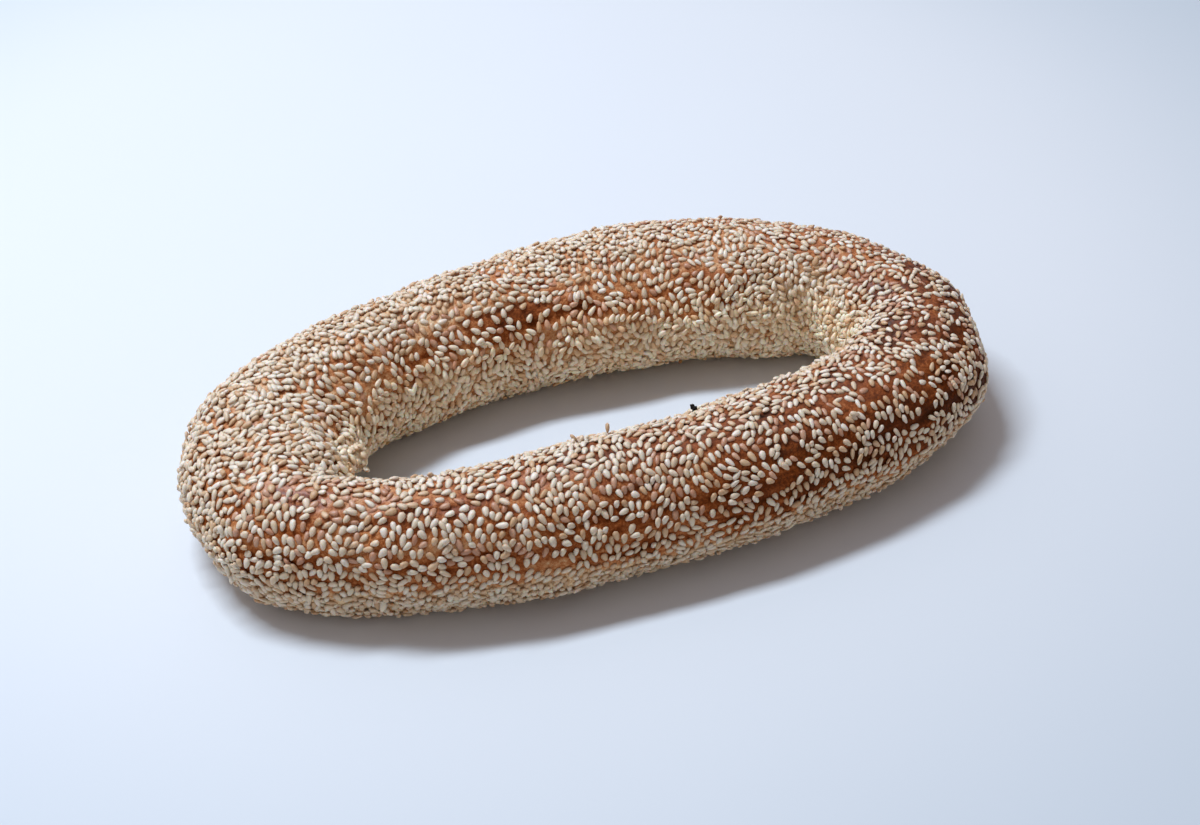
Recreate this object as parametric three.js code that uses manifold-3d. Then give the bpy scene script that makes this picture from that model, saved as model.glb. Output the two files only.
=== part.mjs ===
// A long sesame bread ring: one rope of dough closed into an oval, rolled in sesame seed and baked.
// Millimetres, +Z up. The ring lies on its foot at z = 0, and +X is its long axis.
// A turn is an angle round the ring, from its +X end. A roll is an angle round the rope, from its outer
// side (0) over the top (90 degrees) to the side of the hole (180).
import * as THREE from 'three';
import { mergeVertices } from 'three/addons/utils/BufferGeometryUtils.js';
import Module from 'manifold-3d';

const wasm = await Module();
wasm.setup();

const degree = Math.PI / 180;
const fullTurn = 2 * Math.PI;
const goldenAngle = Math.PI * (3 - Math.sqrt(5));

// The two outlines of the ring, seen from above. Each is an oval with slightly squarer ends (square), one
// end narrower (taper), a bent long axis (bow), a skew (lean) and a few slow waves of the hand that drew
// it: waves = [waves in a turn, share of the radius, turn of the first crest]. Local pushes make the
// creased corner at the hole's +X end and its blunt other end: pushes = [turn, half width, X mm, Y mm].
const outerSide = {
  halfLength: 128.7,
  halfWidth: 68,
  square: 0.022,
  taper: 0.031,
  bow: -1.1,
  lean: -3,
  shift: [0, 0],
  waves: [[3, 0.0166, -39], [4, 0.0133, -22], [5, 0.0108, -1], [6, 0.0061, 16]],
  pushes: [],
};
const holeSide = {
  halfLength: 83.8,
  halfWidth: 24.8,
  square: 0.033,
  taper: -0.124,
  bow: -2.2,
  lean: 3.8,
  shift: [1.1, -2.5],
  waves: [[3, 0.021, -4], [4, 0.0215, 19]],
  pushes: [[32, 8, 0.8, 2.6], [14, 10, -2.6, 0.4], [186, 9, 3.4, 0.6]],
};

// The rope between the two outlines: its height, with waves = [waves in a turn, mm, turn of the first
// crest], the share of the height where it is widest, and the share of that level by which its round
// underside would sink if it didn't stand on a flat foot.
const rope = {
  height: 41.4,
  waves: [[1, 1.1, 68], [2, 0.8, 79], [3, 0.3, 38]],
  belly: 0.467,
  underside: 1.117,
};

// Lumps of the hand-rolled rope: [waves in a turn, waves in a roll, mm, phase]. They fade out at the foot.
const lumps = [[9, 2, 0.35, 20], [14, -1, 0.28, 130], [5, 3, 0.3, 250], [23, 2, 0.16, 80]];
const lumpFade = 7;

// The pinched join of the rope's two ends is a shallow valley down the outer side. A knob of dough and seed
// stands into the hole at the same end.
const seam = { turn: 225, halfWidth: 4.5, depth: 1.5, rollFrom: -75, rollTo: 95, rollFade: 30 };
const knob = { turn: 174, roll: 168, radius: 4, height: 3 };

const mesh = { alongRope: 90, overRope: 16 };

// A lying seed is a low dome with a rim a little above the skin and a root that holds it in the dough.
const seed = { length: 3.2, width: 1.9, thickness: 0.95, sides: 6, proud: 0.6, rim: 0.2, root: 1 };
const seedCount = 250;
const seedSpacing = 7;
const seedAboveFloor = 2.2;

// The steps of a golden-ratio walk in three dimensions, which never bunches.
const walkStep = { turn: 0.8191725, roll: 0.6710436, choice: 0.5497005 };

// Two seeds that stand on end at the edge of the hole: [share of the half width, share of the length].
const standingProfile = [[0, -0.5], [0.8, -0.3], [1, 0.02], [0, 0.5]];
const standingSeeds = [
  { turn: 266, roll: 124, lean: 12, proud: 2.2 },
  { turn: 260, roll: 121, lean: -35, proud: 1.7 },
];
const burntCrumb = { turn: 281.5, roll: 127, radius: 1.2, flatness: 0.7, proud: 0.8 };

const crust = new THREE.MeshStandardMaterial({ color: 0xb98358, roughness: 0.55, metalness: 0 });

function waveSum(waves, turn) {
  return waves.reduce(
    (sum, [count, size, crest]) => sum + size * Math.cos(count * (turn - crest * degree)), 0);
}

function outlinePoint(side, turn) {
  const { halfLength, halfWidth, square, taper, bow, lean, shift } = side;
  const swell = 1 + waveSum(side.waves, turn);
  const x = halfLength * ((1 + square) * Math.cos(turn) - square * Math.cos(3 * turn));
  const y = halfWidth * ((1 + square) * Math.sin(turn) + square * Math.sin(3 * turn));
  const skewed = x + lean * Math.sin(turn);
  const bent = y * (1 + taper * Math.cos(turn)) + bow * Math.cos(2 * turn);
  const point = new THREE.Vector2(skewed * swell + shift[0], bent * swell + shift[1]);
  for (const [middle, pushWidth, pushX, pushY] of side.pushes) {
    const away = 2 * Math.sin((turn - middle * degree) / 2) / (pushWidth * degree);
    point.addScaledVector(new THREE.Vector2(pushX, pushY), Math.exp(-(away ** 2)));
  }
  return point;
}

// A point of the rope without its lumps, and the way out of the rope there.
function plainSkin(turn, roll) {
  const outer = outlinePoint(outerSide, turn);
  const inner = outlinePoint(holeSide, turn);
  const across = outer.clone().sub(inner).multiplyScalar(0.5);
  const height = rope.height + waveSum(rope.waves, turn);
  const belly = rope.belly * height;
  const rise = Math.sin(roll) > 0 ? height - belly : rope.underside * belly;
  const flat = outer.clone().add(inner).multiplyScalar(0.5).addScaledVector(across, Math.cos(roll));
  const level = Math.max(0, belly + rise * Math.sin(roll));
  const outward = across.normalize().multiplyScalar(Math.cos(roll));
  return {
    point: new THREE.Vector3(flat.x, flat.y, level),
    out: new THREE.Vector3(outward.x, outward.y, Math.sin(roll)),
  };
}

const knobCentre = plainSkin(knob.turn * degree, knob.roll * degree).point;

// How far the skin stands off the plain rope, in mm.
function relief(turn, roll, point) {
  const uneven = lumps.reduce((sum, [along, round, size, phase]) => (
    sum + size * Math.sin(along * turn + round * roll + phase * degree)), 0);
  const fromSeam = point.distanceTo(plainSkin(seam.turn * degree, roll).point) / seam.halfWidth;
  const seamEnds = THREE.MathUtils.smoothstep(roll / degree, seam.rollFrom, seam.rollFrom + seam.rollFade)
    * (1 - THREE.MathUtils.smoothstep(roll / degree, seam.rollTo - seam.rollFade, seam.rollTo));
  const valley = seam.depth * seamEnds * Math.exp(-(fromSeam ** 2));
  const fromKnob = point.distanceTo(knobCentre) / knob.radius;
  const bulge = knob.height * Math.exp(-(fromKnob ** 2));
  return (uneven - valley + bulge) * THREE.MathUtils.smoothstep(point.z, 0, lumpFade);
}

function skinPoint(turn, roll) {
  const { point, out } = plainSkin(turn, roll);
  return point.addScaledVector(out, relief(turn, roll, point));
}

// The roll at which the round underside meets the floor. The flat foot is the strip between two of these.
const footEdge = Math.asin(1 / rope.underside);
const rollSpan = Math.PI + 2 * footEdge;

function lineRoll(line) {
  return rollSpan * line / mesh.overRope - footEdge;
}

// A closed mesh as a solid, without its poles' empty triangles.
function solidOf(geometry) {
  const plain = geometry.clone();
  plain.deleteAttribute('normal');
  plain.deleteAttribute('uv');
  const merged = mergeVertices(plain);
  const corners = Array.from(merged.index.array);
  const triangles = [];
  for (let start = 0; start < corners.length; start += 3) {
    const [a, b, c] = corners.slice(start, start + 3);
    if (a !== b && b !== c && c !== a) {
      triangles.push(a, b, c);
    }
  }
  return new wasm.Manifold(new wasm.Mesh({
    numProp: 3,
    vertProperties: new Float32Array(merged.attributes.position.array),
    triVerts: new Uint32Array(triangles),
  }));
}

// A torus with each of its vertices moved to the rope's skin. Its last strip is the foot.
function ropeGeometry() {
  const lines = mesh.overRope + 1;
  const geometry = new THREE.TorusGeometry(1, 0.5, lines, mesh.alongRope);
  const { uv, position } = geometry.attributes;
  for (let vertex = 0; vertex < uv.count; vertex += 1) {
    const turn = (uv.getX(vertex) % 1) * fullTurn;
    const line = Math.round(uv.getY(vertex) * lines) % lines;
    const point = skinPoint(turn, lineRoll(line));
    position.setXYZ(vertex, point.x, point.y, point.z);
  }
  return geometry;
}

// A point on the flat faces of the mesh, with the skin's own directions there and the local face area.
function facePlace(turn, roll) {
  const column = turn / fullTurn * mesh.alongRope;
  const row = (roll + footEdge) / rollSpan * mesh.overRope;
  const firstColumn = Math.floor(column);
  const firstRow = Math.min(Math.floor(row), mesh.overRope - 1);
  const corner = (right, up) => skinPoint(
    (firstColumn + right) / mesh.alongRope * fullTurn, lineRoll(firstRow + up));
  const low = corner(0, 0).lerp(corner(1, 0), column - firstColumn);
  const high = corner(0, 1).lerp(corner(1, 1), column - firstColumn);
  const round = high.clone().sub(low);
  const along = corner(1, 0).sub(corner(0, 0)).lerp(corner(1, 1).sub(corner(0, 1)), row - firstRow);
  const out = along.clone().cross(round);
  const area = out.length();
  out.normalize();
  round.normalize();
  return { point: low.lerp(high, row - firstRow), out, round, along: round.clone().cross(out), area };
}

// The long axis of every seed is Y, and its thin axis is Z.
function lyingSeed() {
  const profile = [[0, -seed.root], [1, seed.rim], [0, seed.proud]];
  const points = profile.map(([across, level]) => new THREE.Vector2(across, level));
  const geometry = new THREE.LatheGeometry(points, seed.sides);
  geometry.rotateX(Math.PI / 2);
  return geometry.scale(seed.width / 2, seed.length / 2, 1);
}

function standingSeed() {
  const points = standingProfile.map(
    ([across, along]) => new THREE.Vector2(across * seed.width / 2, along * seed.length));
  const geometry = new THREE.LatheGeometry(points, seed.sides);
  return geometry.scale(1, 1, seed.thickness / seed.width);
}

function crumb() {
  const geometry = new THREE.IcosahedronGeometry(burntCrumb.radius, 0);
  return geometry.scale(1, 1, burntCrumb.flatness);
}

// Sets a piece on the skin. heading turns its long axis in the plane of the skin, pitch tips it up off the
// skin, and lift is how far its middle is above the skin.
function setOnSkin(geometry, place, heading, pitch, lift) {
  const long = place.along.clone().multiplyScalar(Math.cos(heading));
  long.addScaledVector(place.round, Math.sin(heading));
  long.multiplyScalar(Math.cos(pitch)).addScaledVector(place.out, Math.sin(pitch));
  const side = long.clone().cross(pitch > 0 ? place.round : place.out).normalize();
  const frame = new THREE.Matrix4().makeBasis(side, long, side.clone().cross(long));
  frame.setPosition(place.point.clone().addScaledVector(place.out, lift));
  return geometry.clone().applyMatrix4(frame);
}

// Places spread evenly over the skin above the foot: where the mesh is finer, fewer of them are chosen.
function seedPlaces() {
  const outerSideAreas = Array.from(
    { length: mesh.alongRope }, (_, step) => facePlace(step / mesh.alongRope * fullTurn, 0).area);
  const largestArea = Math.max(...outerSideAreas);
  const places = [];
  for (let step = 1; places.length < seedCount; step += 1) {
    const turn = (step * walkStep.turn % 1) * fullTurn;
    const roll = (step * walkStep.roll % 1) * rollSpan - footEdge;
    const place = facePlace(turn, roll);
    const chosen = step * walkStep.choice % 1 < place.area / largestArea;
    const clear = places.every((other) => other.point.distanceTo(place.point) > seedSpacing);
    if (chosen && clear && place.point.z > seedAboveFloor) {
      places.push(place);
    }
  }
  return places;
}

function toppings() {
  const lying = lyingSeed();
  const pieces = seedPlaces().map((place, index) => setOnSkin(lying, place, index * goldenAngle, 0, 0));
  for (const { turn, roll, lean, proud } of standingSeeds) {
    const place = facePlace(turn * degree, roll * degree);
    pieces.push(setOnSkin(standingSeed(), place, 0, (90 - lean) * degree, proud - seed.length / 2));
  }
  const crumbPlace = facePlace(burntCrumb.turn * degree, burntCrumb.roll * degree);
  const crumbLift = burntCrumb.proud - burntCrumb.radius * burntCrumb.flatness;
  pieces.push(setOnSkin(crumb(), crumbPlace, 0, 0, crumbLift));
  return pieces;
}

function seededRope() {
  const whole = toppings().reduce((solid, piece) => solid.add(solidOf(piece)), solidOf(ropeGeometry()));
  const { vertProperties, triVerts } = whole.getMesh();
  const geometry = new THREE.BufferGeometry();
  geometry.setAttribute('position', new THREE.BufferAttribute(vertProperties, 3));
  geometry.setIndex(new THREE.BufferAttribute(triVerts, 1));
  return geometry;
}

// Puts the middle of the box over the origin and the foot on z = 0.
function centred(geometry) {
  geometry.computeBoundingBox();
  const { min, max } = geometry.boundingBox;
  geometry.translate(-(min.x + max.x) / 2, -(min.y + max.y) / 2, -min.z);
  geometry.computeVertexNormals();
  return geometry;
}

const simit = new THREE.Mesh(centred(seededRope()), crust);
simit.name = 'simit';

const bread = new THREE.Group();
bread.add(simit);

export default bread;
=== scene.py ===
import math
import bmesh
import bpy
import numpy as np
from mathutils import Matrix, Vector


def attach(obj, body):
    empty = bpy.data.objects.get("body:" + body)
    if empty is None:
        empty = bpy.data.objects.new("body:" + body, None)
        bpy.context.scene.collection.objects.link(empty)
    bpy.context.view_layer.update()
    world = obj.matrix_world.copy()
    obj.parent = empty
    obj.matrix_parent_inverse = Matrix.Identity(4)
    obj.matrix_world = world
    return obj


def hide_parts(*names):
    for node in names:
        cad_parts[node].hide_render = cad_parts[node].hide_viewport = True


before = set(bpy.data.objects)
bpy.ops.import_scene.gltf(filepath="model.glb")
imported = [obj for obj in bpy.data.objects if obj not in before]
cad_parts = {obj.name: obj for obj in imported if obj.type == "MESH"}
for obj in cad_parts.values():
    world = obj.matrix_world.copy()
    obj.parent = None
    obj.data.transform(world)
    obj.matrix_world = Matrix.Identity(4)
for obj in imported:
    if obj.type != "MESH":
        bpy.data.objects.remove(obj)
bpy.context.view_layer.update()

# A long sesame ring on a pale table: the crust, the sesame seeds by kind, and a burnt crumb.
# Lengths are in millimetres until a mesh is made. A turn is an angle round the ring from its +X end,
# and a roll is an angle round the rope, from its outer side over the top to the side of the hole.
# Turns and rolls are in degrees in the dictionaries and in radians in the functions.
mm = 0.001
degree = math.pi / 180
fullTurn = 2 * math.pi
bread = "simit"
ringRadius = 82.0        # mean radii, which make angles of lengths along the ring and round the rope
ropeRadius = 21.0


class Value:
    # a node's output that Python's operators work on
    def __init__(self, shader, socket):
        self.shader = shader
        self.socket = socket

    def math(self, operation, first, second):
        return self.shader.node("ShaderNodeMath", {"operation": operation}, {0: first, 1: second})

    def __add__(self, other):
        return self.math("ADD", self, other)

    def __radd__(self, other):
        return self.math("ADD", other, self)

    def __sub__(self, other):
        return self.math("SUBTRACT", self, other)

    def __rsub__(self, other):
        return self.math("SUBTRACT", other, self)

    def __mul__(self, other):
        return self.math("MULTIPLY", self, other)

    def __rmul__(self, other):
        return self.math("MULTIPLY", other, self)

    def __pow__(self, other):
        return self.math("POWER", self, other)

    def atLeast(self, other):
        return self.math("MAXIMUM", self, other)


class Shader:
    # a material or a world, whose nodes all come from node()
    def __init__(self, holder):
        self.holder = holder
        holder.use_nodes = True
        self.tree = holder.node_tree
        self.tree.nodes.clear()

    def node(self, kind, settings=None, sockets=None, output=0):
        node = self.tree.nodes.new(kind)
        for key, value in (settings or {}).items():
            if key == "stops":
                self.setStops(node.color_ramp, value)
            else:
                setattr(node, key, value)
        for key, value in (sockets or {}).items():
            if isinstance(value, Value):
                self.tree.links.new(value.socket, node.inputs[key])
            else:
                node.inputs[key].default_value = value
        return Value(self, node.outputs[output]) if node.outputs else None

    def setStops(self, ramp, stops):
        while len(ramp.elements) < len(stops):
            ramp.elements.new(0.5)
        for element, (place, shade) in zip(ramp.elements, stops):
            element.position = place
            element.color = opaque(colour(*shade))

    def attribute(self, name):
        return self.node("ShaderNodeAttribute", {"attribute_name": name}, {}, "Fac")

    def objectPlace(self):
        return self.node("ShaderNodeTexCoord", {}, {}, "Object")

    def noise(self, size, detail, roughness):
        # soft noise with lumps of about size millimetres
        place = self.objectPlace()
        sockets = {"Vector": place, "Scale": 1 / (size * mm), "Detail": detail, "Roughness": roughness}
        return self.node("ShaderNodeTexNoise", {"noise_dimensions": "3D"}, sockets, "Fac")

    def ramp(self, factor, stops):
        return self.node("ShaderNodeValToRGB", {"stops": stops}, {"Fac": factor}, "Color")

    def band(self, value, low, high):
        # 0 below low, 1 above high
        sockets = {"Value": value, "From Min": low, "From Max": high, "To Min": 0.0, "To Max": 1.0}
        return self.node("ShaderNodeMapRange", {"interpolation_type": "SMOOTHSTEP"}, sockets, "Result")

    def mix(self, factor, first, second, blend="MIX"):
        # its sockets 6 and 7 and its output 2 are the ones for colours
        settings = {"data_type": "RGBA", "blend_type": blend}
        return self.node("ShaderNodeMix", settings, {0: factor, 6: first, 7: second}, 2)

    def bump(self, height, distance):
        sockets = {"Height": height, "Distance": distance * mm, "Strength": 1.0}
        return self.node("ShaderNodeBump", {}, sockets, "Normal")

    def finish(self, sockets):
        surface = self.node("ShaderNodeBsdfPrincipled", {}, sockets, "BSDF")
        self.node("ShaderNodeOutputMaterial", {}, {"Surface": surface})
        return self.holder


def colour(red, green, blue):
    # a screen colour, 0 to 255, as scene-linear light
    parts = [channel / 255 for channel in (red, green, blue)]
    return tuple(part / 12.92 if part < 0.04045 else ((part + 0.055) / 1.055) ** 2.4 for part in parts)


def opaque(rgb):
    return (*rgb, 1)


# The form of the ring. Each side of the rope follows an outline: an ellipse that is squared, tapered
# along X, bowed and leaned over, with waves of (count, share, turn of a crest) and local pushes of
# (turn, half width in degrees, mm along X, mm along Y).
outerSide = {
    "halfLength": 128.7, "halfWidth": 68.0,
    "square": 0.022, "taper": 0.031, "bow": -1.1, "lean": -3.0,
    "shift": (0.0, 0.0),
    "waves": [(3, 0.0166, -39), (4, 0.0133, -22), (5, 0.0108, -1), (6, 0.0061, 16)],
    "pushes": [],
}
holeSide = {
    "halfLength": 83.8, "halfWidth": 24.8,
    "square": 0.033, "taper": -0.124, "bow": -2.2, "lean": 3.8,
    "shift": (1.1, -2.5),
    "waves": [(3, 0.021, -4), (4, 0.0215, 19)],
    "pushes": [(32, 8, 0.8, 2.6), (14, 10, -2.6, 0.4), (186, 9, 3.4, 0.6)],
}
rope = {
    "height": 41.4,
    "waves": [(1, 1.1, 68), (2, 0.8, 79), (3, 0.3, 38)],        # of the height: count, mm, turn of a crest
    "belly": 0.467,             # where the rope is widest, as a share of its height
    "underside": 1.117,         # the round below the belly, as a share of the belly, cut flat by the table
    "lumps": [(9, 2, 0.35, 20), (14, -1, 0.28, 130), (5, 3, 0.3, 250), (23, 2, 0.16, 80)],
    "lumpFade": 7.0,            # height over which the lumps come in above the table
}
seam = {"turn": 225, "halfWidth": 4.5, "depth": 1.5, "rollFrom": -75, "rollTo": 95, "rollFade": 30}
knob = {"turn": 174, "roll": 168, "radius": 4.0, "height": 3.0}
footEdge = math.asin(1 / rope["underside"])     # how far below level a roll meets the table
skinRolls = (-footEdge, math.pi + footEdge)     # the skin's first and last roll


def smooth(value, low, high):
    share = np.clip((value - low) / (high - low), 0, 1)
    return share * share * (3 - 2 * share)


def waveSum(waves, turn):
    return sum(size * np.cos(count * (turn - crest * degree)) for count, size, crest in waves)


def outlinePoint(side, turn):
    square = side["square"]
    swell = 1 + waveSum(side["waves"], turn)
    x = side["halfLength"] * ((1 + square) * np.cos(turn) - square * np.cos(3 * turn))
    y = side["halfWidth"] * ((1 + square) * np.sin(turn) + square * np.sin(3 * turn))
    skewed = x + side["lean"] * np.sin(turn)
    bent = y * (1 + side["taper"] * np.cos(turn)) + side["bow"] * np.cos(2 * turn)
    place = np.stack([skewed * swell + side["shift"][0], bent * swell + side["shift"][1]], -1)
    for middle, pushWidth, pushX, pushY in side["pushes"]:
        away = 2 * np.sin((turn - middle * degree) / 2) / (pushWidth * degree)
        place = place + np.exp(-away ** 2)[..., None] * np.array([pushX, pushY])
    return place


def plainSkin(turn, roll):
    # the rope without its lumps, and the way out of the rope
    outer = outlinePoint(outerSide, turn)
    across = (outer - outlinePoint(holeSide, turn)) / 2
    height = rope["height"] + waveSum(rope["waves"], turn)
    belly = rope["belly"] * height
    rise = np.where(np.sin(roll) > 0, height - belly, rope["underside"] * belly)
    flat = outer - across * (1 - np.cos(roll))[..., None]
    level = np.maximum(0, belly + rise * np.sin(roll))
    outward = across / np.linalg.norm(across, axis=-1, keepdims=True) * np.cos(roll)[..., None]
    point = np.concatenate([flat, level[..., None]], -1)
    return point, np.concatenate([outward, np.sin(roll)[..., None]], -1)


def relief(turn, roll, point):
    # how far the lumps, the seam and the knob lift the skin
    uneven = sum(size * np.sin(along * turn + around * roll + phase * degree)
                 for along, around, size, phase in rope["lumps"])
    seamPoint = plainSkin(np.full_like(turn, seam["turn"] * degree), roll)[0]
    fromSeam = np.linalg.norm(point - seamPoint, axis=-1) / seam["halfWidth"]
    rollDegrees = roll / degree
    seamEnds = smooth(rollDegrees, seam["rollFrom"], seam["rollFrom"] + seam["rollFade"])
    seamEnds = seamEnds * (1 - smooth(rollDegrees, seam["rollTo"] - seam["rollFade"], seam["rollTo"]))
    valley = seam["depth"] * seamEnds * np.exp(-fromSeam ** 2)
    knobCentre = plainSkin(np.array(knob["turn"] * degree), np.array(knob["roll"] * degree))[0]
    fromKnob = np.linalg.norm(point - knobCentre, axis=-1) / knob["radius"]
    bulge = knob["height"] * np.exp(-fromKnob ** 2)
    return (uneven - valley + bulge) * smooth(point[..., 2], 0, rope["lumpFade"])


# smooth random fields on the skin: lump length and width, random seed, and number of waves summed
skinFields = {
    "swells": (11, 8, 31, 28),
    "furrows": (17, 2.1, 32, 48),
    "grain": (1.9, 1.5, 33, 60),
    "footSwells": (5, 5, 34, 28),
    "wrinkles": (9, 1.15, 35, 60),
    "broadTones": (24, 10, 41, 28),
    "smallTones": (6, 4, 42, 28),
    "tufts": (6, 4, 51, 28),
    "smallTufts": (2.7, 2.3, 52, 44),
    "rows": (17, 2.1, 53, 44),
    "swirl": (10, 7, 61, 28),
    "twist": (4.5, 4, 62, 40),
    "footTufts": (8, 8, 71, 28),
}
waveTurn = 2.2           # radians that a mean wave turns over one lump


def skinField(name, turn, roll):
    # of mean 0 and spread 1
    along, around, seed, waves = skinFields[name]
    draw = np.random.default_rng(seed)
    place = np.stack([
        ringRadius / along * np.cos(turn), ringRadius / along * np.sin(turn),
        ropeRadius / around * np.cos(roll), ropeRadius / around * np.sin(roll)], -1)
    total = np.zeros(place.shape[:-1])
    for direction, phase in zip(draw.normal(size=(waves, 4)), draw.uniform(0, fullTurn, waves)):
        total += np.sin(place @ direction * waveTurn + phase)
    return total * math.sqrt(2 / waves)


def patchShare(turn, roll, patch):
    # 1 in the middle of a patch, falling to 0 outside it
    patchTurn, patchRoll, along, around = patch[:4]
    middle = plainSkin(np.array(patchTurn * degree), np.array(patchRoll * degree))[0]
    sameRoll = plainSkin(turn, np.full_like(turn, patchRoll * degree))[0]
    away = np.linalg.norm(sameRoll - middle, axis=-1) / along
    beside = (roll - patchRoll * degree) * ropeRadius / around
    return np.exp(-(away ** 2) - beside ** 2)


def footShift(sections=90, level=0.01):
    # the CAD ring, of so many sections, is centred by its box: its foot and this ring's foot have
    # the same outline, and their middles are that shift apart
    corners = np.array([vertex.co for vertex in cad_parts[bread].data.vertices])
    foot = corners[corners[:, 2] < level * mm][:, :2] / mm
    turn = np.linspace(0, fullTurn, sections + 1)[:-1]
    edges = np.concatenate([plainSkin(turn, np.full_like(turn, roll))[0][:, :2] for roll in skinRolls])
    return (foot.min(0) + foot.max(0) - edges.min(0) - edges.max(0)) / 2


ringShift = footShift()
print("ring shift", ringShift.round(3), "mm")


def addMesh(name, corners, faces, attributes, material):
    # corners in ring millimetres, and faces as a list of arrays of corner numbers
    mesh = bpy.data.meshes.new(name)
    corners = (np.asarray(corners, float) + np.array([*ringShift, 0])) * mm
    loops = np.concatenate([group.ravel() for group in faces])
    sizes = np.concatenate([np.full(len(group), group.shape[1]) for group in faces])
    starts = np.concatenate([[0], np.cumsum(sizes)[:-1]])
    mesh.vertices.add(len(corners))
    mesh.loops.add(len(loops))
    mesh.polygons.add(len(sizes))
    mesh.vertices.foreach_set("co", corners.ravel())
    mesh.loops.foreach_set("vertex_index", loops.astype(np.int32))
    mesh.polygons.foreach_set("loop_start", starts.astype(np.int32))
    mesh.polygons.foreach_set("loop_total", sizes.astype(np.int32))
    mesh.polygons.foreach_set("use_smooth", np.ones(len(sizes), bool))
    mesh.update(calc_edges=True)
    for key, values in attributes.items():
        data = mesh.attributes.new(key, "FLOAT", "POINT").data
        data.foreach_set("value", np.asarray(values, np.float32))
    mesh.materials.append(material)
    mesh.validate()
    piece = bpy.data.objects.new(name, mesh)
    bpy.context.collection.objects.link(piece)
    return piece


def keep(piece):
    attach(piece, "root")
    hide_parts(bread)
    triangles = sum(len(face.vertices) - 2 for face in piece.data.polygons)
    print(piece.name, triangles, "triangles")


crustLook = {
    "alongRing": 720, "aroundRope": 126, "acrossFoot": 9,       # faces
    "footLift": 0.35,           # the seeds under the foot hold the crust off the table
    "inset": 0.7,               # the outlines take in the seeds, and the crust is under them
    "fineFade": 4,              # height over which the fine relief comes in above the table
    "swells": 0.25,             # soft bumps
    "furrows": 0.34,            # stretch marks along the rope
    "furrowFrom": 0.35,         # how much of their field is no furrow
    "grain": 0.09,              # fine unevenness
    "wrinkles": 0.6,            # fine lines along the rope, as a share of the grain
    "footSwells": 0.05,
    "glazeHeights": (32, 41),   # the glaze comes in over these heights
}
# how dark the crust is, from browning and painted light: turn, then on the outer side, on top, and in the
# hole
# at most turns the top is paler, a painted sheen on the lit crest, and the outer side darker, painted shade
# on the flank
heatWithPaintedLightByTurn = [
    (0, 0.86, 0.75, 0.10),
    (50, 0.55, 0.39, 0.08),
    (95, 0.34, 0.28, 0.20),
    (140, 0.33, 0.27, 0.22),
    (180, 0.38, 0.32, 0.08),
    (212, 0.48, 0.53, 0.08),
    (240, 0.47, 0.48, 0.10),
    (265, 0.59, 0.53, 0.12),
    (300, 0.84, 0.71, 0.12),
    (330, 0.95, 0.82, 0.12),
    (360, 0.86, 0.75, 0.10)]
heatLook = {
    "topRolls": (10, 70),       # from the outer side to the top
    "holeRolls": (132, 176),    # from the top to the wall of the hole
    "lowRolls": (7, -28),       # from the outer side down to the pale foot
    "lowPaleness": 0.85,
    # along the far inner edge, where the sine of the turn is past these
    "streak": {"heat": 0.25, "roll": 141, "halfWidth": 15, "sines": (0.3, 0.8)},
    "broadTones": 0.07, "smallTones": 0.05, "wrinkles": 0.045, "furrows": 0.10,
}
# turn, roll, length along, length round, and how much the oven has spared it
palePatches = [
    (253, 2, 12, 5, 0.26), (271, -6, 8, 5, 0.20), (228, -8, 9, 6, 0.16), (236, 30, 7, 4, 0.14),
    (26, 140, 16, 8, 0.42)]
crustPaint = {
    # noises: size in millimetres, detail and roughness
    "mottle": (2.4, 4.0, 0.6), "blister": (0.9, 2.5, 0.55), "grain": (0.3, 3.0, 0.6),
    "mottleTone": 0.52, "blisterTone": 0.62, "grainTone": 0.34,
    "mottleHeight": 0.32, "blisterHeight": 0.45, "grainHeight": 0.23, "bump": 0.95,
    "tones": [(0.05, (232, 202, 160)), (0.25, (207, 152, 105)), (0.42, (183, 114, 67)),
              (0.60, (144, 74, 31)), (0.80, (105, 48, 14)), (1.0, (72, 33, 9))],
    "speckColour": (196, 134, 74), "speckBand": (0.66, 0.76), "speckShare": 0.3,
    "roughness": 0.46, "roughnessSwing": 0.16, "roughnessBand": (0.1, 0.9),
    "shine": 0.05, "glaze": 0.62, "glazeRoughness": 0.42,
}


def furrowed(turn, roll):
    # how deep in a stretch mark a place is, from 0 to about 2
    return np.maximum(0, skinField("furrows", turn, roll) - crustLook["furrowFrom"])


def crustPoint(turn, roll, grain=True):
    # without its grain this is what the seeds lie on
    point, out = plainSkin(turn, roll)
    fade = smooth(point[..., 2], 0, crustLook["fineFade"])
    fine = crustLook["swells"] * skinField("swells", turn, roll)
    fine = fine - crustLook["furrows"] * furrowed(turn, roll)
    if grain:
        wrinkles = crustLook["wrinkles"] * skinField("wrinkles", turn, roll)
        fine = fine + crustLook["grain"] * (skinField("grain", turn, roll) - wrinkles)
    point = point + out * ((relief(turn, roll, point) + fine * fade - crustLook["inset"])[..., None])
    point[..., 2] = np.maximum(point[..., 2], crustLook["footLift"])
    return point


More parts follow.
